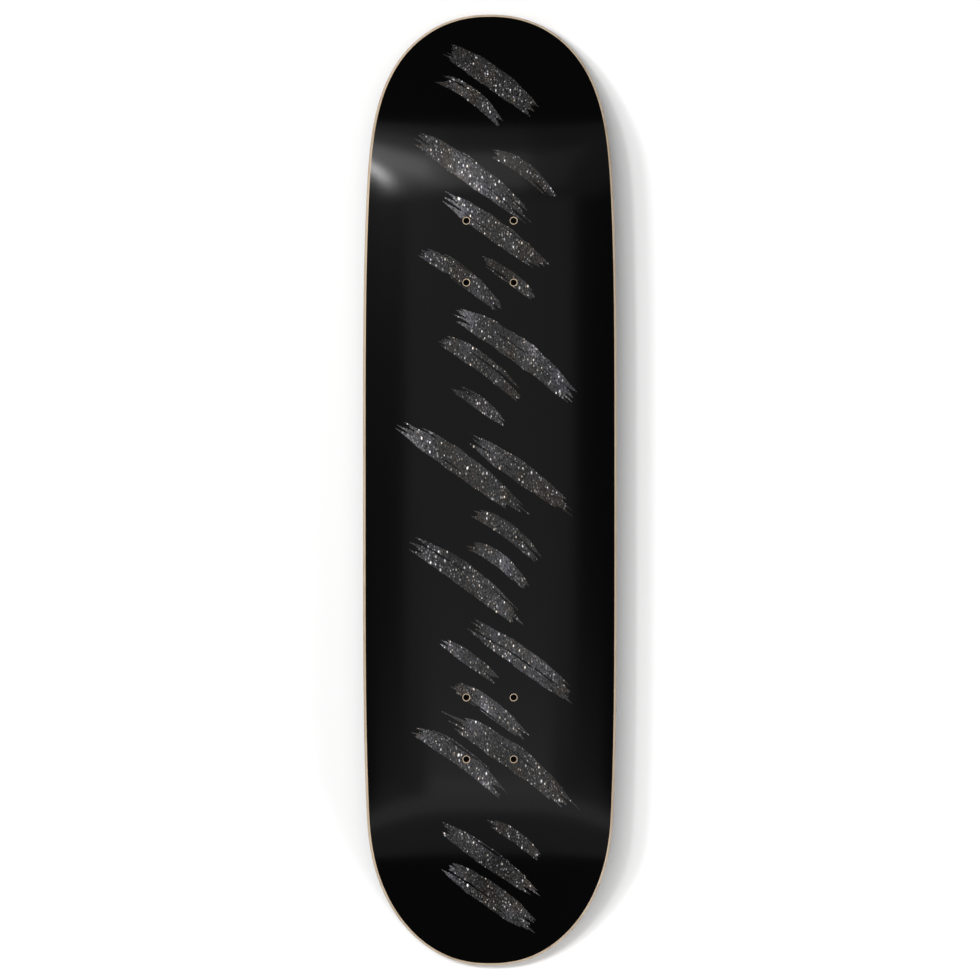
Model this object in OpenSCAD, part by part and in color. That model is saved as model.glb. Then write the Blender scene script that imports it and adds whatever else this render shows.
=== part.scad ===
// Skateboard deck, bare of trucks and wheels. It lies with its printed
// underside up, so it stands on the tips of its nose and tail like a low bridge.
// +X points to the nose and +Z out of the printed face. The origin is on the
// ground, under the middle of the board.
// Every layer is a sheet that follows one curved surface, at its own height
// above or below the middle of the wood.

/* [Deck] */
// Overall length, tip to tip
deck_l = 838.2; // [800:0.1:880]
// Overall width at the middle
deck_w = 222.25; // [185:0.25:270]
// Half width of the level strip down the middle, wider than a truck's baseplate
flat_half = 30; // [28:0.5:40]
// How far the side edges stand off the level strip
concave = 9; // [4:0.5:14]

/* [Outline] */
// Length of the rounded end of the nose
nose_round_l = 179; // [140:1:215]
// Fullness of the nose where it leaves the sides
nose_shoulder = 4.25; // [2:0.05:5]
// Bluntness of the nose at its tip
nose_blunt = 2.18; // [1.8:0.01:2.8]
// Share of the width lost towards the nose before its round end is counted
nose_taper = 0.2; // [0:0.01:0.25]
// Length of the rounded end of the tail
tail_round_l = 137; // [110:1:215]
// Fullness of the tail where it leaves the sides
tail_shoulder = 2.43; // [2:0.01:5]
// Bluntness of the tail at its tip
tail_blunt = 2.27; // [1.8:0.01:2.8]
// Share of the width lost towards the tail before its round end is counted
tail_taper = 0.14; // [0:0.01:0.25]
// Half width of the short straight edge at each tip
tip_flat = 7; // [5:0.5:12]

/* [Kicks] */
// Angle of the nose and the tail to the level middle
kick_angle = 20; // [14:0.5:25]
// Bending radius of each kick
kick_bend_r = 240; // [120:5:290]
// Level wood between the outer bolt holes and the start of each bend
bend_gap = 14; // [8:0.5:24]
// Share of the concave that runs on into the nose and the tail
kick_concave = 0.45; // [0:0.05:1]

/* [Truck holes] */
// Wheelbase, between the inner holes of the two trucks
wheelbase = 361.95; // [330:0.05:400]
// Hole spacing along the board
hole_pitch_x = 53.975; // [50:0.025:64]
// Hole spacing across the board
hole_pitch_y = 41.275; // [38:0.025:44]
// Drilled hole for a truck bolt
hole_d = 5.5; // [5:0.1:6]
// Depth of the eased edge round each hole, on the printed side
hole_ease = 0.25; // [0.1:0.05:0.3]
// Bare wood between the rim of a hole and the cut edge of the film
film_clear = 0.6; // [0.4:0.1:2]

/* [Wood] */
// Thickness of one veneer
ply_t = 1.45; // [1.2:0.05:1.7]
// Thickness of one glue line
glue_t = 0.1; // [0.08:0.01:0.15]
// How far the rounded rim reaches in from the side, seen from above
rim_reach = 2.3; // [1.5:0.1:3.5]
// How deep the rounded rim reaches down from each face
rim_depth = 4.4; // [3:0.1:4.8]

/* [Skins] */
// Printed film on the underside
film_t = 0.12; // [0.08:0.01:0.2]
// Adhesive layer of the grip sheet
adhesive_t = 0.15; // [0.1:0.01:0.25]
// Backing of the grip sheet
backing_t = 0.3; // [0.2:0.05:0.5]
// Grit coat of the grip sheet
grit_t = 0.5; // [0.3:0.05:0.8]

/* [Hidden] */

PLIES = 7;
BEND_STEPS = 6;
ROUND_STEPS = 8;
BORE_FN = 48;

pitch_t = ply_t + glue_t;
wood_t = PLIES * pitch_t - glue_t;
wood_face = wood_t / 2;
grip_t = adhesive_t + backing_t + grit_t;
half_l = deck_l / 2;
half_w = deck_w / 2;

// Where each bend starts and ends, from the middle of the board
bend_start = wheelbase / 2 + hole_pitch_x + bend_gap;
bend_end = bend_start + kick_bend_r * sin(kick_angle);

// The ends: length of the round end, shoulder, bluntness and taper
NOSE = [nose_round_l, nose_shoulder, nose_blunt, nose_taper];
TAIL = [tail_round_l, tail_shoulder, tail_blunt, tail_taper];

// Columns across the board, as shares of the half width
level = flat_half / half_w;
COLUMNS = [-1, -(2 + level) / 3, -(1 + 2 * level) / 3, -level,
  level, (1 + 2 * level) / 3, (2 + level) / 3, 1];

// ---- The curved surface ----

// Drop of the middle line at u from the middle of the board, and its slope
function drop(u) =
  u <= bend_start ? 0
  : u < bend_end ? kick_bend_r - sqrt(pow(kick_bend_r, 2) - pow(u - bend_start, 2))
  : kick_bend_r * (1 - cos(kick_angle)) + (u - bend_end) * tan(kick_angle);
function drop_slope(u) =
  u <= bend_start ? 0
  : u < bend_end ? (u - bend_start) / sqrt(pow(kick_bend_r, 2) - pow(u - bend_start, 2))
  : tan(kick_angle);

// Share of the concave at u: all of it in the middle, less in the kicks
function bent(u) = max(0, min(1, (u - bend_start) / (bend_end - bend_start)));
function dish_share(u) = 1 - (1 - kick_concave) * (1 - cos(180 * bent(u))) / 2;

// The concave: level out to flat_half, then a parabola to the side edge
function beyond(y) = max(0, abs(y) - flat_half) / (half_w - flat_half);
function dish(y) = concave * pow(beyond(y), 2);
function dish_slope(y) = 2 * concave * beyond(y) / (half_w - flat_half);

// A layer at height d above the middle of the wood keeps its thickness square
// to the slope, so it stands d times this far off, measured straight up
function lean(x, y) = sqrt(1 + pow(drop_slope(abs(x)), 2) + pow(dish_slope(y) * dish_share(abs(x)), 2));

// Height of the middle of the wood at the middle of the board: the grip sheet's
// edge at each tip touches the ground
mid_z = drop(half_l - rim_reach) + (wood_face + grip_t) * sqrt(1 + pow(tan(kick_angle), 2));
function surface_z(x, y, d) = mid_z - drop(abs(x)) - dish(y) * dish_share(abs(x)) + d * lean(x, y);

// ---- The outline ----

// Half width at u, where the round end is reached at along = 0 and ends at 1
function along(u, end) = max(0, min(1, (u - half_l + end[0]) / end[0]));
function tapered(u, end) = half_w * (1 - end[3] * pow(u / half_l, 4));
function half_width(u, end) = tapered(u, end) * pow(1 - pow(along(u, end), end[1]), 1 / end[2]);

// One station of the outline: its place, its half width and the way out of it
function station(u, end) =
  let (
    step = 0.01,
    slope = (half_width(u + step, end) - half_width(u - step, end)) / (2 * step),
    steep = sqrt(1 + slope * slope)
  )
  [u, half_width(u, end), -slope / steep, 1 / steep];

// The round end is divided by equal angles, as a circle is
function round_u(k, end) =
  let (
    first = asin(pow(1 - pow(along(bend_end, end), end[1]), 1 / end[2])),
    share = sin(first * (1 - k / ROUND_STEPS))
  )
  half_l - end[0] + end[0] * pow(1 - pow(share, end[2]), 1 / end[1]);

function end_stations(end) = [
  station(bend_start / 2, end),
  for (k = [0 : BEND_STEPS]) station(bend_start + (bend_end - bend_start) * k / BEND_STEPS, end),
  for (k = [1 : ROUND_STEPS - 1]) station(round_u(k, end), end),
  [half_l, tip_flat, 1, 0]
];

function reversed(list) = [for (i = [len(list) - 1 : -1 : 0]) list[i]];
function aft(s) = [-s[0], s[1], -s[2], s[3]];

STATIONS = [
  for (s = reversed(end_stations(TAIL))) aft(s),
  [0, half_w, 0, 1],
  for (s = end_stations(NOSE)) s
];

// ---- Layers ----

// How far a face at height d is cut in from the outline by the rounded rim
function rim_in(d) =
  let (deep = min(1, max(0, (abs(d) - wood_face + rim_depth) / rim_depth)))
  rim_reach * (1 - sqrt(1 - deep * deep));

function face_points(d) = [
  for (s = STATIONS)
    let (x = s[0] - rim_in(d) * s[2], h = s[1] - rim_in(d) * s[3])
    for (share = COLUMNS) [x, share * h, surface_z(x, share * h, d)]
];

// A closed sheet between the faces at low and high
module sheet(low, high) {
  cols = len(COLUMNS);
  rows = len(STATIONS);
  size = cols * rows;
  rim = concat(
    [for (j = [0 : cols - 1]) j],
    [for (i = [1 : rows - 1]) i * cols + cols - 1],
    [for (j = [cols - 2 : -1 : 0]) (rows - 1) * cols + j],
    [for (i = [rows - 2 : -1 : 1]) i * cols]
  );
  faces = concat(
    [for (i = [0 : rows - 2], j = [0 : cols - 2])
      let (a = i * cols + j)
      each [[a, a + cols, a + cols + 1], [a, a + cols + 1, a + 1]]],
    [for (i = [0 : rows - 2], j = [0 : cols - 2])
      let (a = size + i * cols + j)
      each [[a, a + cols + 1, a + cols], [a, a + 1, a + cols + 1]]],
    [for (k = [0 : len(rim) - 1])
      let (a = rim[k], b = rim[(k + 1) % len(rim)])
      each [[a, b, b + size], [a, b + size, a + size]]]
  );
  polyhedron(concat(face_points(low), face_points(high)), faces);
}

module at_truck_holes() {
  for (end = [-1, 1], row = [0, 1], side = [-1, 1])
    translate([end * (wheelbase / 2 + row * hole_pitch_x), side * hole_pitch_y / 2, 0])
      children();
}

// A wood layer with the truck holes drilled through it
module drilled(low, high, d = hole_d) {
  difference() {
    sheet(low, high);
    at_truck_holes() cylinder(h = 2 * mid_z, d = d, $fn = BORE_FN);
  }
}

function ply_top(i) = wood_face - i * pitch_t;

module veneer(i) {
  drilled(ply_top(i) - ply_t, ply_top(i));
}

module glue_line(i) {
  drilled(ply_top(i), ply_top(i) + glue_t);
}

// ---- The pieces, from the printed side down ----

module graphic_film() {
  color([0.03, 0.03, 0.03]) drilled(wood_face, wood_face + film_t, hole_d + 2 * film_clear);
}

// The rims of the holes are eased at 45 degrees on the printed side
module underside_veneer() {
  color([0.80, 0.68, 0.52]) difference() {
    veneer(0);
    at_truck_holes() translate([0, 0, mid_z + wood_face - hole_ease])
      cylinder(h = 2 * hole_ease, d1 = hole_d, d2 = hole_d + 4 * hole_ease, $fn = BORE_FN);
  }
}

module core_veneer_2() { color([0.78, 0.65, 0.48]) veneer(1); }
module cross_veneer_3() { color([0.62, 0.47, 0.32]) veneer(2); }
module core_veneer_4() { color([0.80, 0.67, 0.50]) veneer(3); }
module cross_veneer_5() { color([0.62, 0.47, 0.32]) veneer(4); }
module core_veneer_6() { color([0.78, 0.65, 0.48]) veneer(5); }
module top_veneer() { color([0.80, 0.68, 0.52]) veneer(6); }

module glue_line_1() { color([0.50, 0.38, 0.22]) glue_line(1); }
module glue_line_2() { color([0.50, 0.38, 0.22]) glue_line(2); }
module glue_line_3() { color([0.50, 0.38, 0.22]) glue_line(3); }
module glue_line_4() { color([0.50, 0.38, 0.22]) glue_line(4); }
module glue_line_5() { color([0.50, 0.38, 0.22]) glue_line(5); }
module glue_line_6() { color([0.50, 0.38, 0.22]) glue_line(6); }

// The grip sheet is not pierced: the bolts are pushed through it when trucks go on
module grip_adhesive() {
  color([0.75, 0.72, 0.62]) sheet(-wood_face - adhesive_t, -wood_face);
}

module grip_backing() {
  color([0.16, 0.16, 0.16]) sheet(-wood_face - adhesive_t - backing_t, -wood_face - adhesive_t);
}

module grip_grit() {
  color([0.06, 0.06, 0.06]) sheet(-wood_face - grip_t, -wood_face - adhesive_t - backing_t);
}

underside_veneer();
glue_line_1();
core_veneer_2();
glue_line_2();
cross_veneer_3();
glue_line_3();
core_veneer_4();
glue_line_4();
cross_veneer_5();
glue_line_5();
core_veneer_6();
glue_line_6();
top_veneer();
graphic_film();
grip_adhesive();
grip_backing();
grip_grit();
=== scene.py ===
import math

import bpy
import numpy as np
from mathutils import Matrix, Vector


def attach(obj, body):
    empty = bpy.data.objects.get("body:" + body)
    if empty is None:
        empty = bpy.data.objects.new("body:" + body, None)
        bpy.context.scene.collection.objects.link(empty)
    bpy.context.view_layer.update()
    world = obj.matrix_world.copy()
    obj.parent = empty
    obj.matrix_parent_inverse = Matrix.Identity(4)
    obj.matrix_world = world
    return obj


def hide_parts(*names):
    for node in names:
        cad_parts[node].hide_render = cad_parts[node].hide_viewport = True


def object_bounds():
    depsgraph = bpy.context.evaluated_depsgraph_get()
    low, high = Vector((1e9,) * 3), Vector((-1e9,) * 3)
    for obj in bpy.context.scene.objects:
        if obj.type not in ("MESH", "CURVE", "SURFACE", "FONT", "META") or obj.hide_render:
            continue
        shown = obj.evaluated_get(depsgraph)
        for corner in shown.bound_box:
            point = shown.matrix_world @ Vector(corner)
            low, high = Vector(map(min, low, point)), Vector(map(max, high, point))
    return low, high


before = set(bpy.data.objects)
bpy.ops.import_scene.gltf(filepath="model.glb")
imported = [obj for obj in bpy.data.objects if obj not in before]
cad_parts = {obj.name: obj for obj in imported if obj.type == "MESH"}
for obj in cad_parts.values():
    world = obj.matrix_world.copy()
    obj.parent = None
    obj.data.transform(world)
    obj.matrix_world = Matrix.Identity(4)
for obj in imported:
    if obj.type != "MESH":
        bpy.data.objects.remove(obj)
cad_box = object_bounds()


# ---- Veneers: seven sheets of hard maple ----
# Rotary-cut maple, pressed wet with glue into one curved blank, then sawn to the
# outline. Three and five run across the board, the others along it. The rim is
# rounded over and sanded, so every sheet shows there as a stripe.

HALF_LENGTH = cad_box[1].x
HALF_WIDTH = cad_box[1].y
FLAT_HALF = 0.030
CONCAVE = 0.009
KICK_SLOPE = math.tan(math.radians(20))
BEND_RADIUS = 0.240
BEND_START = 0.24895
BEND_END = BEND_START + BEND_RADIUS * math.sin(math.atan(KICK_SLOPE))
KICK_CONCAVE = 0.45
# Length of the round end, shoulder, bluntness and taper of each end of the outline
NOSE = (0.179, 4.25, 2.18, 0.20)
TAIL = (0.137, 2.43, 2.27, 0.14)
PLY_THICK = 0.00145
GLUE_THICK = 0.0001
WOOD_FACE = (7 * PLY_THICK + 6 * GLUE_THICK) / 2
GRIP_THICK = 0.00095
# How far in and how far down the rounded rim is cut
RIM_REACH = 0.0023
RIM_DEPTH = 0.0044


def drop(u):
    """How far the middle line has fallen at u from the middle of the board."""
    over = np.clip(u, BEND_START, BEND_END) - BEND_START
    bend = BEND_RADIUS - np.sqrt(BEND_RADIUS ** 2 - over ** 2)
    return bend + np.maximum(u - BEND_END, 0) * KICK_SLOPE


def drop_slope(u):
    """How steeply the middle line falls at u."""
    over = np.clip(u, BEND_START, BEND_END) - BEND_START
    return over / np.sqrt(BEND_RADIUS ** 2 - over ** 2)


def dish_share(u):
    """Share of the side concave at u: all in the middle, less in the kicks."""
    bent = np.clip((u - BEND_START) / (BEND_END - BEND_START), 0, 1)
    return 1 - (1 - KICK_CONCAVE) * (1 - np.cos(np.pi * bent)) / 2


def beyond(y):
    """How far y is past the level strip, as a share of the way to the edge."""
    return np.maximum(np.abs(y) - FLAT_HALF, 0) / (HALF_WIDTH - FLAT_HALF)


def surface_z(x, y, height):
    """Height above the ground of a layer that lies height off the middle of the wood."""
    u = np.abs(x)
    side_slope = 2 * CONCAVE * beyond(y) / (HALF_WIDTH - FLAT_HALF) * dish_share(u)
    lean = np.sqrt(1 + drop_slope(u) ** 2 + side_slope ** 2)
    return MID_Z - drop(u) - CONCAVE * beyond(y) ** 2 * dish_share(u) + height * lean


MID_Z = float(drop(HALF_LENGTH - RIM_REACH) + (WOOD_FACE + GRIP_THICK) * math.hypot(1, KICK_SLOPE))


def half_width(u, end):
    """Half the width of the board at u, towards its nose or its tail."""
    round_length, shoulder, blunt, taper = end
    along = np.clip((u - HALF_LENGTH + round_length) / round_length, 0, 1)
    return HALF_WIDTH * (1 - taper * (u / HALF_LENGTH) ** 4) * (1 - along ** shoulder) ** (1 / blunt)


# Stations along the flat, the bend and the round end, which stops just short of its tip
FLAT_STEPS = 26
BEND_STEPS = 22
ROUND_STEPS = 44
LAST_TURN = math.radians(2.5)


def end_stations(end):
    """Places along half the board, close together where it bends or rounds off."""
    round_length, shoulder, blunt, _ = end
    along = max(0.0, (BEND_END - HALF_LENGTH + round_length) / round_length)
    turn = math.asin((1 - along ** shoulder) ** (1 / blunt))
    turns = np.linspace(turn, LAST_TURN, ROUND_STEPS)[1:]
    places = (1 - np.sin(turns) ** blunt) ** (1 / shoulder)
    round_u = HALF_LENGTH - round_length + round_length * places
    return np.concatenate([
        np.linspace(0, BEND_START, FLAT_STEPS)[1:],
        np.linspace(BEND_START, BEND_END, BEND_STEPS)[1:], round_u])


def outline():
    """Stations of the whole outline: place, half width, and the way out of it."""
    sides = []
    for end in (TAIL, NOSE):
        u = end_stations(end)
        step = 1e-6
        slope = (half_width(u + step, end) - half_width(u - step, end)) / (2 * step)
        steep = np.hypot(slope, 1)
        sides.append(np.stack([u, half_width(u, end), -slope / steep, 1 / steep], axis=1))
    tail, nose = sides
    tail = tail[::-1] * np.array([-1, 1, -1, 1])
    return np.concatenate([tail, [[0, HALF_WIDTH, 0, 1]], nose])


STATIONS = outline()


def rim_in(height):
    """How far the rounded rim has cut a layer in from the outline."""
    deep = min(1, max(0, (abs(height) - WOOD_FACE + RIM_DEPTH) / RIM_DEPTH))
    return RIM_REACH * (1 - math.sqrt(1 - deep * deep))


def face_points(height, columns):
    """A grid of points over the whole outline, all at one height in the board."""
    x = STATIONS[:, 0] - rim_in(height) * STATIONS[:, 2]
    half = STATIONS[:, 1] - rim_in(height) * STATIONS[:, 3]
    shares = np.sin(np.linspace(-1, 1, columns) * np.pi / 2)
    xx = np.repeat(x[:, None], columns, axis=1)
    yy = half[:, None] * shares[None, :]
    return np.stack([xx, yy, surface_z(xx, yy, height)], axis=2)


def corners(grid):
    """The four corners of every cell of a grid of point numbers, in order round the cell."""
    a, b = grid[:-1, :-1].ravel(), grid[1:, :-1].ravel()
    c, d = grid[1:, 1:].ravel(), grid[:-1, 1:].ravel()
    return a, b, c, d


def sheet_mesh(name, low, high, columns=24, bands=4):
    """A closed sheet between two heights, its rim following the round-over."""
    rows = len(STATIONS)
    size = rows * columns
    grid = np.arange(size).reshape(rows, columns)
    rim = np.concatenate([grid[0, :-1], grid[:-1, -1], grid[-1, :0:-1], grid[:0:-1, 0]])
    rings = [rim]
    points = [face_points(low, columns).reshape(-1, 3), face_points(high, columns).reshape(-1, 3)]
    for k, height in enumerate(np.linspace(low, high, bands + 1)[1:-1]):
        points.append(face_points(height, columns).reshape(-1, 3)[rim])
        rings.append(np.arange(len(rim)) + 2 * size + k * len(rim))
    rings.append(rim + size)
    a, b, c, d = corners(grid)
    quads = [np.stack([a, d, c, b], axis=1), np.stack([a, b, c, d], axis=1) + size]
    for under, over in zip(rings, rings[1:]):
        quads.append(np.stack([under, over, np.roll(over, -1), np.roll(under, -1)], axis=1))
    mesh = bpy.data.meshes.new(name)
    mesh.from_pydata(np.concatenate(points).tolist(), [], np.concatenate(quads).tolist())
    return mesh


# Two truck patterns of four holes: the inner pairs are a wheelbase apart
WHEELBASE = 0.361950
BOLTS_ALONG = 0.053975
BOLTS_ACROSS = 0.041275
HOLE_RADIUS = 0.00275
HOLE_EASE = 0.00025
BORE_FLOOR = 0.030
BOLT_X = [end * (WHEELBASE / 2 + row * BOLTS_ALONG) for end in (-1, 1) for row in (0, 1)]
BOLT_Y = [side * BOLTS_ACROSS / 2 for side in (-1, 1)]


def bore_cutter(name, profile, sides=48):
    """Turned plugs at the eight bolt holes; profile lists radius and height."""
    points, faces = [], []
    turns = [2 * math.pi * k / sides for k in range(sides)]
    for x in BOLT_X:
        for y in BOLT_Y:
            first = len(points)
            for radius, z in profile:
                points += [(x + radius * math.cos(t), y + radius * math.sin(t), z) for t in turns]
            for ring in range(len(profile) - 1):
                low, high = first + ring * sides, first + (ring + 1) * sides
                faces += [(low + k, low + (k + 1) % sides, high + (k + 1) % sides, high + k)
                          for k in range(sides)]
            faces.append([first + k for k in reversed(range(sides))])
            faces.append([first + (len(profile) - 1) * sides + k for k in range(sides)])
    mesh = bpy.data.meshes.new(name)
    mesh.from_pydata(points, [], faces)
    return bpy.data.objects.new(name, mesh)


def place(name, mesh, material, cutter=None, sharp=32):
    """Puts a mesh in the scene as a finished piece, bored by the cutter if there is one."""
    piece = bpy.data.objects.new(name, mesh)
    bpy.context.scene.collection.objects.link(piece)
    if cutter:
        bpy.context.scene.collection.objects.link(cutter)
        bore = piece.modifiers.new("bore", "BOOLEAN")
        bore.object, bore.operation, bore.solver = cutter, "DIFFERENCE", "EXACT"
        graph = bpy.context.evaluated_depsgraph_get()
        piece.data = bpy.data.meshes.new_from_object(piece.evaluated_get(graph))
        piece.data.name = name
        piece.modifiers.clear()
        bpy.context.scene.collection.objects.unlink(cutter)
    piece.data.polygons.foreach_set("use_smooth", [True] * len(piece.data.polygons))
    piece.data.set_sharp_from_angle(angle=math.radians(sharp))
    piece.data.materials.clear()
    piece.data.materials.append(material)
    return piece


def add_node(tree, kind, inputs=(), **settings):
    """Adds a node, sets its properties, and sets or links its inputs by name or number."""
    made = tree.nodes.new(kind)
    for key, value in settings.items():
        setattr(made, key, value)
    for key, value in dict(inputs).items():
        if isinstance(value, bpy.types.NodeSocket):
            tree.links.new(value, made.inputs[key])
        else:
            made.inputs[key].default_value = value
    return made


def blank_material(name, **sockets):
    """A Principled surface with its constant sockets set, and its tree."""
    material = bpy.data.materials.new(name)
    material.use_nodes = True
    tree = material.node_tree
    tree.nodes.clear()
    names = {key.replace("_", " ").title(): value for key, value in sockets.items()}
    names = {key.replace("Ior", "IOR"): value for key, value in names.items()}
    surface = add_node(tree, "ShaderNodeBsdfPrincipled", names)
    output = add_node(tree, "ShaderNodeOutputMaterial")
    tree.links.new(surface.outputs[0], output.inputs["Surface"])
    return material, tree, surface


def pattern(tree, stretch, detail=3.0, roughness=0.55):
    """Noise on the piece's own coordinates, stretched by a scale for each axis."""
    place_at = add_node(tree, "ShaderNodeTexCoord")
    mapped = add_node(tree, "ShaderNodeMapping", {"Vector": place_at.outputs["Object"], "Scale": stretch})
    return add_node(tree, "ShaderNodeTexNoise", {
        "Vector": mapped.outputs[0], "Scale": 1.0, "Detail": detail, "Roughness": roughness})


def ramp(tree, factor, stops):
    """A colour ramp with a stop at each place and colour given."""
    made = add_node(tree, "ShaderNodeValToRGB", {0: factor})
    while len(made.color_ramp.elements) < len(stops):
        made.color_ramp.elements.new(0.5)
    for element, (at, colour) in zip(made.color_ramp.elements, stops):
        element.position = at
        element.color = (*colour, 1)
    return made


# Scale of the broad bands as a share of the fibres', and the palest wood as a multiple of pale
BAND_SHARE = 0.07
PALEST = 1.12


def maple(name, pale, dark, fibre):
    """Sanded maple: fine fibres over broad bands of tone, with a thin seal coat."""
    material, tree, surface = blank_material(name, roughness=0.48, coat_weight=0.15, coat_roughness=0.3)
    fine = pattern(tree, fibre, detail=4.0)
    broad = pattern(tree, [BAND_SHARE * scale for scale in fibre], detail=2.0)
    mixed = add_node(tree, "ShaderNodeMath", {0: fine.outputs[0], 1: broad.outputs[0]}, operation="ADD")
    halved = add_node(tree, "ShaderNodeMath", {0: mixed.outputs[0], 1: 0.5}, operation="MULTIPLY")
    palest = [PALEST * part for part in pale]
    tone = ramp(tree, halved.outputs[0], [(0.36, dark), (0.52, pale), (0.66, palest)])
    tree.links.new(tone.outputs[0], surface.inputs["Base Color"])
    bump = add_node(tree, "ShaderNodeBump", {
        "Height": fine.outputs[0], "Strength": 0.15, "Distance": 0.0002})
    tree.links.new(bump.outputs[0], surface.inputs["Normal"])
    return material


# Fibres to the metre along each axis, for grain that runs along the board or across it
ALONG = (70, 1500, 1500)
ACROSS = (1500, 70, 1500)
FACE_MAPLE = maple("maple_face", (0.455, 0.355, 0.25), (0.345, 0.25, 0.16), ALONG)
CORE_MAPLE = maple("maple_core", (0.42, 0.315, 0.21), (0.30, 0.21, 0.125), ALONG)
CROSS_MAPLE = maple("maple_cross", (0.30, 0.205, 0.12), (0.20, 0.125, 0.067), ACROSS)

VENEERS = [
    ("underside_veneer", FACE_MAPLE, "maple_face"), ("core_veneer_2", CORE_MAPLE, "maple_core"),
    ("cross_veneer_3", CROSS_MAPLE, "maple_cross"), ("core_veneer_4", CORE_MAPLE, "maple_core"),
    ("cross_veneer_5", CROSS_MAPLE, "maple_cross"), ("core_veneer_6", CORE_MAPLE, "maple_core"),
    ("top_veneer", FACE_MAPLE, "maple_face")]
BORE = [(HOLE_RADIUS, BORE_FLOOR), (HOLE_RADIUS, MID_Z + WOOD_FACE - HOLE_EASE),
        (HOLE_RADIUS + 3 * HOLE_EASE, MID_Z + WOOD_FACE + 2 * HOLE_EASE)]


def ply_top(number):
    """Height of the upper face of a veneer, counted down from the underside veneer as 0."""
    return WOOD_FACE - number * (PLY_THICK + GLUE_THICK)


for number, (node, material, slot) in enumerate(VENEERS):
    mesh = sheet_mesh(node + "_sheet", ply_top(number) - PLY_THICK, ply_top(number))
    piece = place(node + "_sheet", mesh, material, bore_cutter("bore_plugs", BORE))
    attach(piece, "root")
    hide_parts(node)


# ---- Glue lines: six films of cured wood glue ----
# Rolled on between the veneers and pressed to about a tenth of a millimetre.
# At the sanded rim each one is a thin brown line.

glue, _, _ = blank_material("cured_glue", base_color=(0.16, 0.095, 0.045, 1), roughness=0.42)

for number in range(1, 7):
    node = f"glue_line_{number}"
    mesh = sheet_mesh(node + "_sheet", ply_top(number), ply_top(number) + GLUE_THICK, bands=1)
    piece = place(node + "_sheet", mesh, glue, bore_cutter("bore_plugs", BORE))
    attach(piece, "root")
    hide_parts(node)


# ---- Graphic film: the black heat-transfer skin ----
# A printed film a tenth of a millimetre thick, rolled hot onto the underside
# before the holes are drilled, so the drill leaves a bare ring at each one. The
# fibres of the maple telegraph through its satin surface.

FILM_THICK = 0.00012
FILM_CLEAR = 0.0006

film_black, tree, surface = blank_material(
    "film_black", base_color=(0.0012, 0.0012, 0.0013, 1), roughness=0.15, specular_ior_level=0.084)
fibres = pattern(tree, (25, 900, 900), detail=3.0)
telegraph = add_node(tree, "ShaderNodeBump", {
    "Height": fibres.outputs[0], "Strength": 0.10, "Distance": 0.00008})
tree.links.new(telegraph.outputs[0], surface.inputs["Normal"])

film_top = MID_Z + WOOD_FACE + FILM_THICK
film_radius = HOLE_RADIUS + FILM_CLEAR
mesh = sheet_mesh("graphic_film_sheet", WOOD_FACE, WOOD_FACE + FILM_THICK, columns=56, bands=1)
film = place("graphic_film_sheet", mesh, film_black, bore_cutter(
    "film_plugs", [(film_radius, MID_Z), (film_radius, film_top + 0.001)]))
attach(film, "root")
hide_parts("graphic_film")


# ---- Print: brush marks in speckled grey ink ----
# Screen-printed on the film before transfer: a plain run of loose dry-brush
# slashes down the board, filled with a starry grey. Each is drawn out into bristle
# streaks that break up at its ends, and is left open where the holes were drilled.

INK_THICK = 0.00003
MARK_COUNT = 23
MARK_PITCH = 0.0325
# Clear of the edge by this much, measured this far nearer the end than the middle of the slash
MARK_MARGIN = 0.026
TIP_ROOM = 0.030
# How far a slash runs along the board for each metre across it
MARK_LEAN = 0.72
# Each pair: the middling size, and how much it comes and goes from one slash to the next
MARK_REACH = (0.043, 0.017)
MARK_HALF = (0.0075, 0.0024)
MARK_BOW = (0.006, 0.004)
MARK_SHIFT = 0.028
# Turns from one slash to the next, in radians, that keep any two slashes from matching
SWAY_TURN, SWELL_TURN, CURL_TURN = 2.4, 1.7, 1.1
SWELL_START = 0.6
# Points of a slash, and its width and raggedness at the ends, as shares of its reach and width
MARK_POINTS = (1, 0.35, -0.35, -1)
END_SHARE = 0.45
RAGGED_SHARE = 0.55


def brush_mark(number):
    """Widths, raggedness and middle line of one slash; they sway about without repeating."""
    middle_x = (MARK_COUNT - 1) * MARK_PITCH / 2 - number * MARK_PITCH
    sway = math.sin(SWAY_TURN * number)
    swell = math.cos(SWELL_TURN * number + SWELL_START)
    curl = math.sin(CURL_TURN * number)
    room = half_width(abs(middle_x) + TIP_ROOM, NOSE if middle_x > 0 else TAIL) - MARK_MARGIN
    reach = min(MARK_REACH[0] + MARK_REACH[1] * swell, room)
    middle_y = min(MARK_SHIFT, room - reach) * sway
    half = MARK_HALF[0] + MARK_HALF[1] * swell
    bow = MARK_BOW[0] + MARK_BOW[1] * curl
    line = []
    for side in MARK_POINTS:
        y = middle_y + side * reach
        line.append((middle_x + MARK_LEAN * y + (1 - side * side) * bow, y))
    return half, END_SHARE * half, RAGGED_SHARE * reach, line


def marks_mesh():
    """The middle lines as edges, with each mark's widths, raggedness and number at its points."""
    points, edges, half, ragged, number = [], [], [], [], []
    for index in range(MARK_COUNT):
        middle, end, broken, line = brush_mark(index)
        first = len(points)
        points += [(x, y, 0) for x, y in line]
        edges += [(first + k, first + k + 1) for k in range(len(line) - 1)]
        half += [end] + [middle] * (len(line) - 2) + [end]
        ragged += [broken] * len(line)
        number += [index] * len(line)
    mesh = bpy.data.meshes.new("mark_lines")
    mesh.from_pydata(points, edges, [])
    for name, values in (("half", half), ("ragged", ragged), ("number", number)):
        mesh.attributes.new(name, "FLOAT", "POINT").data.foreach_set("value", values)
    return mesh


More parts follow.
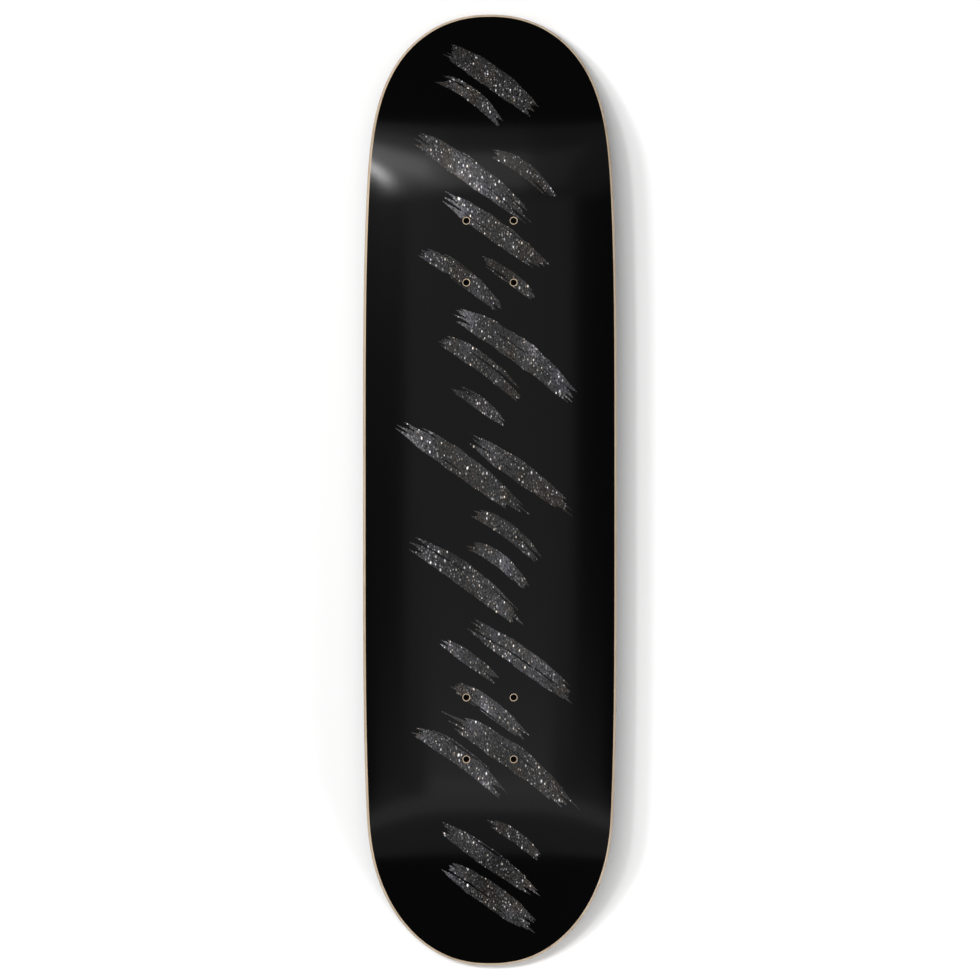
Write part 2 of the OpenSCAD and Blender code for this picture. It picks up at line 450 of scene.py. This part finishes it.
def combine(tree, operation, *values, kind="ShaderNodeMath"):
    """One step of arithmetic on sockets or numbers."""
    return add_node(tree, kind, dict(enumerate(values)), operation=operation).outputs[0]


def stored(tree, name, kind="FLOAT"):
    """A value kept on the points under a name."""
    return add_node(tree, "GeometryNodeInputNamedAttribute", {"Name": name}, data_type=kind).outputs[0]


def open_tree(name, start, sizes):
    """A geometry tree with a mesh input and the named sizes, and the sockets they arrive on."""
    tree = bpy.data.node_groups.new(name, "GeometryNodeTree")
    tree.interface.new_socket(start, in_out="INPUT", socket_type="NodeSocketGeometry")
    for key, kind in sizes:
        tree.interface.new_socket(key, in_out="INPUT", socket_type="NodeSocket" + kind)
    tree.interface.new_socket("Done", in_out="OUTPUT", socket_type="NodeSocketGeometry")
    return tree, tree.nodes.new("NodeGroupInput").outputs


def close_tree(tree, geometry, material):
    """Ends a geometry tree as real faces with their material on."""
    real = add_node(tree, "GeometryNodeRealizeInstances", {0: geometry}).outputs[0]
    covered = add_node(tree, "GeometryNodeSetMaterial", {"Geometry": real, "Material": material})
    done = tree.nodes.new("NodeGroupOutput")
    tree.links.new(covered.outputs[0], done.inputs[0])
    return tree


# Waves of a slash's edge to the metre, and its least and added width as shares
EDGE_WAVES = 45.0
EDGE_LEAST = 0.75
EDGE_PLAY = 0.5
# Offset of the bristle pattern between slashes, and how dry the brush is at their ends
BRISTLE_OFFSET = 7.3
END_DRYNESS = 0.70
# Each slash's ink is this much thicker than the one before, so that no two tops coincide
INK_STEP = 0.05
# A ribbon starts this high above the ground and looks this far down for the film
DROP_FROM = 0.2
DROP_REACH = 0.3
# Points closer than this become one, which shuts the ribbons all round
WELD = 0.000002


def brush_tree():
    """Geometry nodes: middle lines in, solid ragged ribbons lying on the film out."""
    tree, given = open_tree("brush_marks", "Lines", (
        ("Film", "Object"), ("Cell Length", "Float"), ("Bristle Cells", "Int"),
        ("Bristle Width", "Float"), ("Streak Length", "Float"), ("Dryness", "Float"),
        ("Seed", "Float"), ("Ink", "Float"), ("Material", "Material")))

    line = add_node(tree, "GeometryNodeMeshToCurve", {0: given["Lines"]}).outputs[0]
    smooth = add_node(tree, "GeometryNodeCurveSplineType", {0: line}, spline_type="CATMULL_ROM").outputs[0]
    even = add_node(tree, "GeometryNodeResampleCurve", {"Curve": smooth, "Length": given["Cell Length"]},
                    mode="LENGTH").outputs[0]
    travelled = add_node(tree, "GeometryNodeSplineParameter").outputs["Length"]
    whole = add_node(tree, "GeometryNodeSplineLength").outputs["Length"]
    tangent = add_node(tree, "GeometryNodeInputTangent").outputs[0]
    place_now = add_node(tree, "GeometryNodeInputPosition").outputs[0]
    for name, kind, value in (("travelled", "FLOAT", travelled), ("whole", "FLOAT", whole),
                              ("heading", "FLOAT_VECTOR", tangent), ("centre", "FLOAT_VECTOR", place_now)):
        even = add_node(tree, "GeometryNodeStoreNamedAttribute",
                        {"Geometry": even, "Name": name, "Value": value}, data_type=kind).outputs[0]

    bar = add_node(tree, "GeometryNodeCurvePrimitiveLine", {
        "Start": (-1, 0, 0), "End": (1, 0, 0)}).outputs[0]
    bar = add_node(tree, "GeometryNodeResampleCurve", {
        "Curve": bar, "Count": given["Bristle Cells"]}).outputs[0]
    across_bar = add_node(tree, "ShaderNodeSeparateXYZ", {0: place_now}).outputs["X"]
    bar = add_node(tree, "GeometryNodeStoreNamedAttribute",
                   {"Geometry": bar, "Name": "across", "Value": across_bar}, data_type="FLOAT").outputs[0]
    ribbon = add_node(tree, "GeometryNodeCurveToMesh", {"Curve": even, "Profile Curve": bar}).outputs[0]

    side = combine(tree, "CROSS_PRODUCT", stored(tree, "heading", "FLOAT_VECTOR"), (0, 0, 1),
                   kind="ShaderNodeVectorMath")
    wobble = add_node(tree, "ShaderNodeTexNoise", {
        "Vector": add_node(tree, "ShaderNodeCombineXYZ", {
            0: combine(tree, "MULTIPLY", stored(tree, "travelled"), EDGE_WAVES),
            1: stored(tree, "number"),
            2: combine(tree, "SIGN", stored(tree, "across"))}).outputs[0], "Scale": 1.0}).outputs[0]
    swell = combine(tree, "MULTIPLY_ADD", wobble, EDGE_PLAY, EDGE_LEAST)
    reach = combine(tree, "MULTIPLY", stored(tree, "half"), swell)
    offset = combine(tree, "MULTIPLY", stored(tree, "across"), reach)
    flat = add_node(tree, "ShaderNodeVectorMath", {
        0: side, "Scale": offset}, operation="SCALE").outputs[0]
    flat = combine(tree, "ADD", stored(tree, "centre", "FLOAT_VECTOR"), flat, kind="ShaderNodeVectorMath")
    ribbon = add_node(tree, "GeometryNodeSetPosition", {"Geometry": ribbon, "Position": flat}).outputs[0]

    streak = add_node(tree, "ShaderNodeCombineXYZ", {
        0: combine(tree, "DIVIDE", stored(tree, "travelled"), given["Streak Length"]),
        1: combine(tree, "DIVIDE", offset, given["Bristle Width"]),
        2: combine(tree, "MULTIPLY_ADD", stored(tree, "number"), BRISTLE_OFFSET, given["Seed"])}).outputs[0]
    load = add_node(tree, "ShaderNodeTexNoise", {"Vector": streak, "Scale": 1.0, "Detail": 1.2}).outputs[0]
    to_end = combine(tree, "SUBTRACT", stored(tree, "whole"), stored(tree, "travelled"))
    nearest = combine(tree, "MINIMUM", to_end, stored(tree, "travelled"))
    inside = add_node(tree, "ShaderNodeMapRange", {
        0: nearest, 1: 0.0, 2: stored(tree, "ragged"), 3: END_DRYNESS, 4: given["Dryness"]},
        interpolation_type="SMOOTHSTEP").outputs[0]
    dry = combine(tree, "LESS_THAN", load, inside)
    ribbon = add_node(tree, "GeometryNodeDeleteGeometry", {"Geometry": ribbon, "Selection": dry},
                      domain="FACE").outputs[0]

    skin = add_node(tree, "GeometryNodeObjectInfo", {"Object": given["Film"]}).outputs["Geometry"]
    above = combine(tree, "ADD", place_now, (0, 0, DROP_FROM), kind="ShaderNodeVectorMath")
    ray = add_node(tree, "GeometryNodeRaycast", {
        "Target Geometry": skin, "Source Position": above, "Ray Direction": (0, 0, -1),
        "Ray Length": DROP_REACH})
    missed = combine(tree, "LESS_THAN", ray.outputs["Is Hit"], 0.5)
    low = add_node(tree, "ShaderNodeSeparateXYZ", {0: ray.outputs["Hit Normal"]}).outputs["Z"]
    missed = combine(tree, "MAXIMUM", missed, combine(tree, "LESS_THAN", low, 0.5))
    hit = ray.outputs["Hit Position"]
    ribbon = add_node(tree, "GeometryNodeStoreNamedAttribute", {
        "Geometry": ribbon, "Name": "missed", "Value": missed}, data_type="FLOAT").outputs[0]
    ribbon = add_node(tree, "GeometryNodeSetPosition", {"Geometry": ribbon, "Position": hit}).outputs[0]
    ribbon = add_node(tree, "GeometryNodeDeleteGeometry", {
        "Geometry": ribbon, "Selection": combine(tree, "GREATER_THAN", stored(tree, "missed"), 0.0)},
        domain="POINT").outputs[0]
    up = add_node(tree, "ShaderNodeSeparateXYZ", {
        0: add_node(tree, "GeometryNodeInputNormal").outputs[0]}).outputs["Z"]
    ribbon = add_node(tree, "GeometryNodeFlipFaces", {
        "Mesh": ribbon, "Selection": combine(tree, "LESS_THAN", up, 0.0)}).outputs[0]

    over = combine(tree, "MULTIPLY_ADD", stored(tree, "number"), INK_STEP, 1.0)
    lift = add_node(tree, "ShaderNodeCombineXYZ", {
        2: combine(tree, "MULTIPLY", over, given["Ink"])}).outputs[0]
    thick = add_node(tree, "GeometryNodeExtrudeMesh", {
        "Mesh": ribbon, "Offset": lift, "Offset Scale": 1.0, "Individual": False}, mode="FACES").outputs[0]
    back = add_node(tree, "GeometryNodeFlipFaces", {"Mesh": ribbon}).outputs[0]
    both = tree.nodes.new("GeometryNodeJoinGeometry")
    tree.links.new(back, both.inputs[0])
    tree.links.new(thick, both.inputs[0])
    shut = add_node(tree, "GeometryNodeMergeByDistance", {
        "Geometry": both.outputs[0], "Distance": WELD}).outputs[0]
    return close_tree(tree, shut, given["Material"])


def grown(name, mesh, tree, **values):
    """Runs a geometry tree on a mesh with the given named inputs and returns a plain piece."""
    source = bpy.data.objects.new(name, mesh)
    bpy.context.scene.collection.objects.link(source)
    nodes = source.modifiers.new("nodes", "NODES")
    nodes.node_group = tree
    keys = {item.name: item.identifier for item in tree.interface.items_tree if item.in_out == "INPUT"}
    for key, value in values.items():
        nodes[keys[key.replace("_", " ").title()]] = value
    graph = bpy.context.evaluated_depsgraph_get()
    made = bpy.data.meshes.new_from_object(source.evaluated_get(graph))
    source.modifiers.clear()
    source.data = made
    made.name = name
    made.polygons.foreach_set("use_smooth", [True] * len(made.polygons))
    made.set_sharp_from_angle(angle=math.radians(40))
    return source


star_ink, tree, surface = blank_material("star_ink", roughness=0.15, specular_ior_level=0.084)
where = add_node(tree, "ShaderNodeTexCoord").outputs["Object"]
cloud = pattern(tree, (14, 20, 20), detail=4.0).outputs[0]
hue = pattern(tree, (27, 43, 43), detail=3.0).outputs[0]
dust = pattern(tree, (520, 900, 900), detail=1.0).outputs[0]
ground = ramp(tree, cloud, [(0.36, (0.015, 0.015, 0.015)), (0.52, (0.026, 0.026, 0.026)),
                            (0.60, (0.040, 0.040, 0.042)), (0.72, (0.15, 0.15, 0.155))]).outputs[0]
tint = ramp(tree, hue, [(0.36, (1.14, 0.98, 0.85)), (0.47, (1.0, 1.0, 1.0)),
                        (0.66, (0.99, 0.98, 1.05))]).outputs[0]
veil = combine(tree, "MULTIPLY", ground, tint, kind="ShaderNodeVectorMath")
gain = add_node(tree, "ShaderNodeMapRange", {0: dust, 1: 0.34, 2: 0.68, 3: 0.25, 4: 1.75}).outputs[0]
veil = combine(tree, "MULTIPLY", veil, gain, kind="ShaderNodeVectorMath")
crowd = add_node(tree, "ShaderNodeMapRange", {0: cloud, 1: 0.35, 2: 0.65, 3: 0.7, 4: 1.5}).outputs[0]
# Layers of stars, coarse to fine: cells to the metre, size in the cell, and brightness
STAR_LAYERS = ((250.0, 0.38, 1.1), (400.0, 0.52, 1.2), (640.0, 0.62, 0.45))
STAR_STRETCH = 0.52
RARITY = 1.7
for scale, size, bright in STAR_LAYERS:
    cells = (STAR_STRETCH * scale, scale, scale)
    stretched = combine(tree, "MULTIPLY", where, cells, kind="ShaderNodeVectorMath")
    stars = add_node(tree, "ShaderNodeTexVoronoi", {"Vector": stretched, "Scale": 1.0, "Randomness": 1.0})
    pick = add_node(tree, "ShaderNodeSeparateXYZ", {0: stars.outputs["Color"]})
    radius = combine(tree, "MULTIPLY_ADD", pick.outputs["X"], size / 2, size / 4)
    glow = add_node(tree, "ShaderNodeMapRange", {
        0: stars.outputs["Distance"], 1: 0.0, 2: radius, 3: bright, 4: 0.0},
        interpolation_type="SMOOTHSTEP")
    light = combine(tree, "MULTIPLY", glow.outputs[0], combine(tree, "POWER", pick.outputs["Y"], RARITY))
    light = combine(tree, "MULTIPLY", light, crowd)
    star_tint = ramp(tree, pick.outputs["Z"], [(0.15, (1.0, 0.86, 0.72)), (0.35, (0.98, 0.97, 1.0)),
                                               (0.9, (0.93, 0.91, 1.0))]).outputs[0]
    spark = add_node(tree, "ShaderNodeVectorMath", {0: star_tint, "Scale": light}, operation="SCALE")
    veil = combine(tree, "ADD", veil, spark.outputs[0], kind="ShaderNodeVectorMath")
tree.links.new(veil, surface.inputs["Base Color"])

print_piece = grown("brush_print", marks_mesh(), brush_tree(), film=film, cell_length=0.0011,
                    bristle_cells=26, bristle_width=0.0026, streak_length=0.075, dryness=0.33,
                    seed=4.0, ink=INK_THICK, material=star_ink)
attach(print_piece, "root")


# ---- Grip sheet: adhesive, backing and grit on the riding side ----
# One self-adhesive sheet, laid on the riding side and trimmed to the rim, where
# its three layers show as a thin dark edge. It closes the bolt holes from behind.

ADHESIVE_THICK = 0.00015
BACKING_THICK = 0.0003
GRIT_THICK = GRIP_THICK - ADHESIVE_THICK - BACKING_THICK
BINDER_THICK = 0.6 * GRIT_THICK

adhesive, _, _ = blank_material("adhesive", base_color=(0.003, 0.0025, 0.002, 1), roughness=0.6,
                               specular_ior_level=0.1)
backing, _, _ = blank_material("grip_backing", base_color=(0.012, 0.012, 0.012, 1), roughness=0.85)
grit_black, tree, surface = blank_material("grit_black", roughness=0.8)
grains = pattern(tree, (2600, 2600, 2600), detail=2.0)
tone = ramp(tree, grains.outputs[0], [(0.35, (0.006, 0.006, 0.006)), (0.62, (0.03, 0.03, 0.031)),
                                      (0.72, (0.12, 0.12, 0.125))])
tree.links.new(tone.outputs[0], surface.inputs["Base Color"])
rough = add_node(tree, "ShaderNodeBump", {"Height": grains.outputs[0], "Strength": 0.9, "Distance": 0.0004})
tree.links.new(rough.outputs[0], surface.inputs["Normal"])

under = -WOOD_FACE
for node, thick, material, slot in (
        ("grip_adhesive", ADHESIVE_THICK, adhesive, "adhesive"),
        ("grip_backing", BACKING_THICK, backing, "grip_backing"),
        ("grip_grit", BINDER_THICK, grit_black, "grit")):
    piece = place(node + "_sheet", sheet_mesh(node + "_sheet", under - thick, under, bands=1), material)
    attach(piece, "root")
    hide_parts(node)
    under -= thick


GRAIN_RADIUS = 0.00034
GRAINS_PER_AREA = 250000.0


def grain_tree():
    """Geometry nodes: the riding-side face in, four-sided grains bedded in it out."""
    tree, given = open_tree("grit_grains", "Face", (
        ("Density", "Float"), ("Grain Radius", "Float"), ("Smallest", "Float"), ("Seed", "Int"),
        ("Material", "Material")))
    spots = add_node(tree, "GeometryNodeDistributePointsOnFaces", {
        "Mesh": given["Face"], "Density": given["Density"], "Seed": given["Seed"]}).outputs["Points"]
    grain = add_node(tree, "GeometryNodeMeshCone", {
        "Vertices": 3, "Radius Top": 0.0, "Radius Bottom": given["Grain Radius"],
        "Depth": given["Grain Radius"]}).outputs["Mesh"]
    turn = add_node(tree, "FunctionNodeRandomValue", {
        0: (0, 0, 0), 1: (math.tau, math.tau, math.tau), "Seed": given["Seed"]}, data_type="FLOAT_VECTOR")
    grow = add_node(tree, "FunctionNodeRandomValue", {
        2: given["Smallest"], 3: 1.0, "Seed": given["Seed"]}, data_type="FLOAT")
    set_down = add_node(tree, "GeometryNodeInstanceOnPoints", {
        "Points": spots, "Instance": grain, "Rotation": turn.outputs[0], "Scale": grow.outputs[1]})
    return close_tree(tree, set_down.outputs[0], given["Material"])


def open_face(name, height, columns=24):
    """One face of a layer as an open mesh, for grains to be strewn on."""
    rows = len(STATIONS)
    a, b, c, d = corners(np.arange(rows * columns).reshape(rows, columns))
    mesh = bpy.data.meshes.new(name)
    mesh.from_pydata(face_points(height, columns).reshape(-1, 3).tolist(), [],
                     np.stack([a, d, c, b], axis=1).tolist())
    return mesh


loose_black, _, _ = blank_material("grain_black", base_color=(0.035, 0.035, 0.037, 1), roughness=0.32)
bed = under + GRAIN_RADIUS / 2
grains = grown("grip_grains", open_face("grip_grains", bed), grain_tree(),
               density=GRAINS_PER_AREA, grain_radius=GRAIN_RADIUS, smallest=0.55, seed=7,
               material=loose_black)
grains.data.polygons.foreach_set("use_smooth", [False] * len(grains.data.polygons))
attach(grains, "root")


# ---- Floor, lights and camera ----
# A white floor, a bright soft box high over the nose, and dimmer panels whose edges
# draw the sheen on the film. The lens looks straight down from far off.

FLOOR_HALF = 8
white, _, _ = blank_material("floor_white", base_color=(0.77, 0.77, 0.77, 1), roughness=0.9)
floor_mesh = bpy.data.meshes.new("floor")
floor_mesh.from_pydata([(x * FLOOR_HALF, y * FLOOR_HALF, 0)
                        for x, y in ((-1, -1), (1, -1), (1, 1), (-1, 1))], [], [(0, 1, 2, 3)])
floor = bpy.data.objects.new("floor", floor_mesh)
floor_mesh.materials.append(white)
bpy.context.scene.collection.objects.link(floor)


def area_light(name, at, towards, size, power, length=None):
    """A soft box at a point, turned to face another point."""
    data = bpy.data.lights.new(name, "AREA")
    data.shape = "RECTANGLE"
    data.size, data.size_y, data.energy = size, length or size, power
    lamp = bpy.data.objects.new(name, data)
    lamp.location = at
    lamp.rotation_mode = "QUATERNION"
    lamp.rotation_quaternion = (Vector(towards) - Vector(at)).to_track_quat("-Z", "Y")
    bpy.context.scene.collection.objects.link(lamp)
    return lamp


def panel(name, low, high, height, radiance):
    """A level panel facing down over the rectangle low to high, as bright as radiance says."""
    size_x, size_y = high[0] - low[0], high[1] - low[1]
    at = ((low[0] + high[0]) / 2, (low[1] + high[1]) / 2, height)
    lamp = area_light(name, at, (at[0], at[1], 0), size_x, radiance * math.pi * size_x * size_y, size_y)
    # Left unturned, so that its sides lie along the board and across it
    lamp.rotation_quaternion = (1, 0, 0, 0)


panel("key_wide", (1.00, 0.66), (3.60, 4.20), 5.6, 1.7)
panel("key", (1.30, 0.66), (2.70, 3.60), 5.5, 4)
panel("key_core", (1.60, 0.66), (2.40, 3.60), 5.4, 6.8)
panel("key_falloff", (1.22, -0.05), (2.80, 0.66), 5.5, 4.6)
panel("key_spread", (1.22, -1.20), (2.80, -0.05), 5.5, 0.9)
panel("spark", (1.05, 1.66), (1.45, 2.05), 5.0, 110)
panel("nose_panel_left", (0.84, 0.0), (4.7, 2.8), 6.0, 1.6)
panel("nose_panel_right", (0.84, -2.8), (4.7, 0.0), 6.0, 0.7)
panel("middle_panel", (-0.45, -1.6), (0.84, 1.6), 6.0, 1.4)
panel("tail_panel", (-4.7, -2.5), (-0.45, 2.5), 6.0, 1.1)
panel("tail_glow", (-2.2, -2.3), (-1.4, 2.3), 5.9, 1.8)
panel("tail_spot", (-1.4, -0.9), (-0.5, 0.9), 5.9, 2.2)
area_light("side", (1.6, 4.0, 5.6), (0, 0, 0), 1.2, 195)
area_light("fill", (-1.4, -1.0, 0.9), (-0.2, -0.1, 0), 0.6, 14)

world = bpy.data.worlds.new("studio")
world.use_nodes = True
bpy.context.scene.world = world
world.node_tree.nodes["Background"].inputs["Color"].default_value = (0.05, 0.05, 0.05, 1)

camera = bpy.data.cameras.new("camera")
camera.lens, camera.sensor_width = 200, 36
view_width = 0.8548
stand_off = view_width * camera.lens / camera.sensor_width
camera_object = bpy.data.objects.new("camera", camera)
camera_object.location = (0, 0, film_top + stand_off)
camera_object.rotation_euler = (0, 0, -math.pi / 2)
camera.clip_end = 20
bpy.context.scene.collection.objects.link(camera_object)
bpy.context.scene.camera = camera_object
bpy.context.scene.view_settings.view_transform = "Standard"
